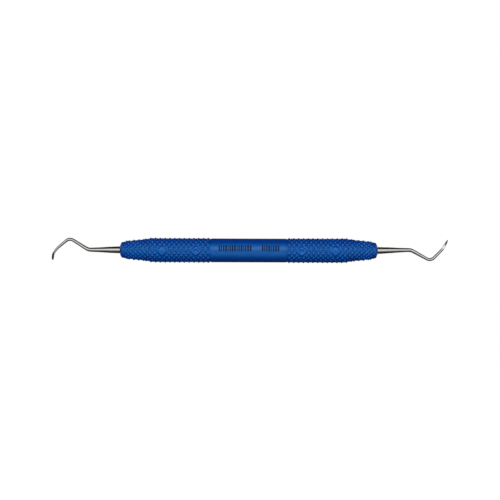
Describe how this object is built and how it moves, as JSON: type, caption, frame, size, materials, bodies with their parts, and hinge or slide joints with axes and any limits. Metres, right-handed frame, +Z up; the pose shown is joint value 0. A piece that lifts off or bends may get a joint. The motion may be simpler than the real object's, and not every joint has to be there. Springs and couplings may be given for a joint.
{
  "type": "dental hand scaler",
  "caption": "Double-ended dental hand scaler with a textured blue resin handle, a curved sickle tip at one end and a straight pointed sickle tip at the other.",
  "frame": {"origin": "on the handle's axis, half way along the whole instrument, which is the middle of its bounding box", "axes": "+X along the handle towards the straight pointed blade; +Z up, the way that blade points; the bends of both tips lie in the XZ plane"},
  "size_m": [0.1698, 0.0104, 0.0104],
  "materials": {
    "handle": "satin",
    "core": "satin",
    "tips": "gloss",
    "seals": "gloss"
  },
  "bodies": {
    "root": {"handle_shell": "handle", "core_tube": "core", "socket_curved_end": "core", "socket_straight_end": "core", "tip_curved": "tips", "tip_straight": "tips", "seal_curved_end": "seals", "seal_straight_end": "seals"}
  },
  "joints": []
}
